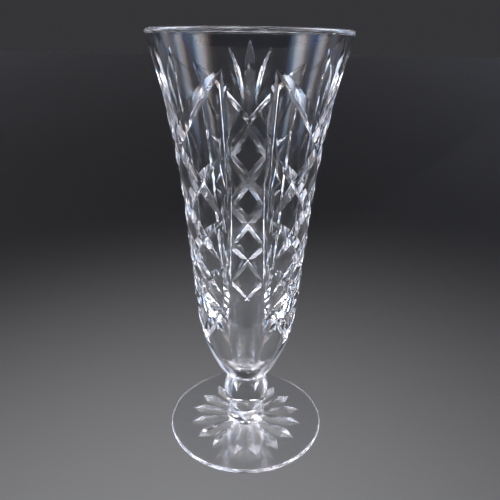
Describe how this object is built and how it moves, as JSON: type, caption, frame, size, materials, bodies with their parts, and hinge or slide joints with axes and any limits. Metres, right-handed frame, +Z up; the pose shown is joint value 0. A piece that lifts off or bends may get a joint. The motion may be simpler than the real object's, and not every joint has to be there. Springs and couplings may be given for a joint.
{
  "type": "vase",
  "caption": "Tall flared cut crystal vase with crossed diagonal cuts, a solid base, a beaded stem and a round star-cut foot.",
  "frame": {"origin": "centre of the foot's underside, on the surface the vase stands on", "axes": "+Z up along the vase's axis, -Y towards the plain front panel, +X to the right seen from the front"},
  "size_m": [0.1102, 0.1104, 0.254],
  "materials": {
    "bowl": "clear polished lead crystal with polished V cuts",
    "knop": "clear fire-polished lead crystal",
    "stem_collar": "clear fire-polished lead crystal",
    "foot": "clear polished lead crystal with a cut star underneath"
  },
  "bodies": {
    "root": {"bowl": "bowl", "knop": "knop", "stem_collar": "stem_collar", "foot": "foot"}
  },
  "joints": []
}
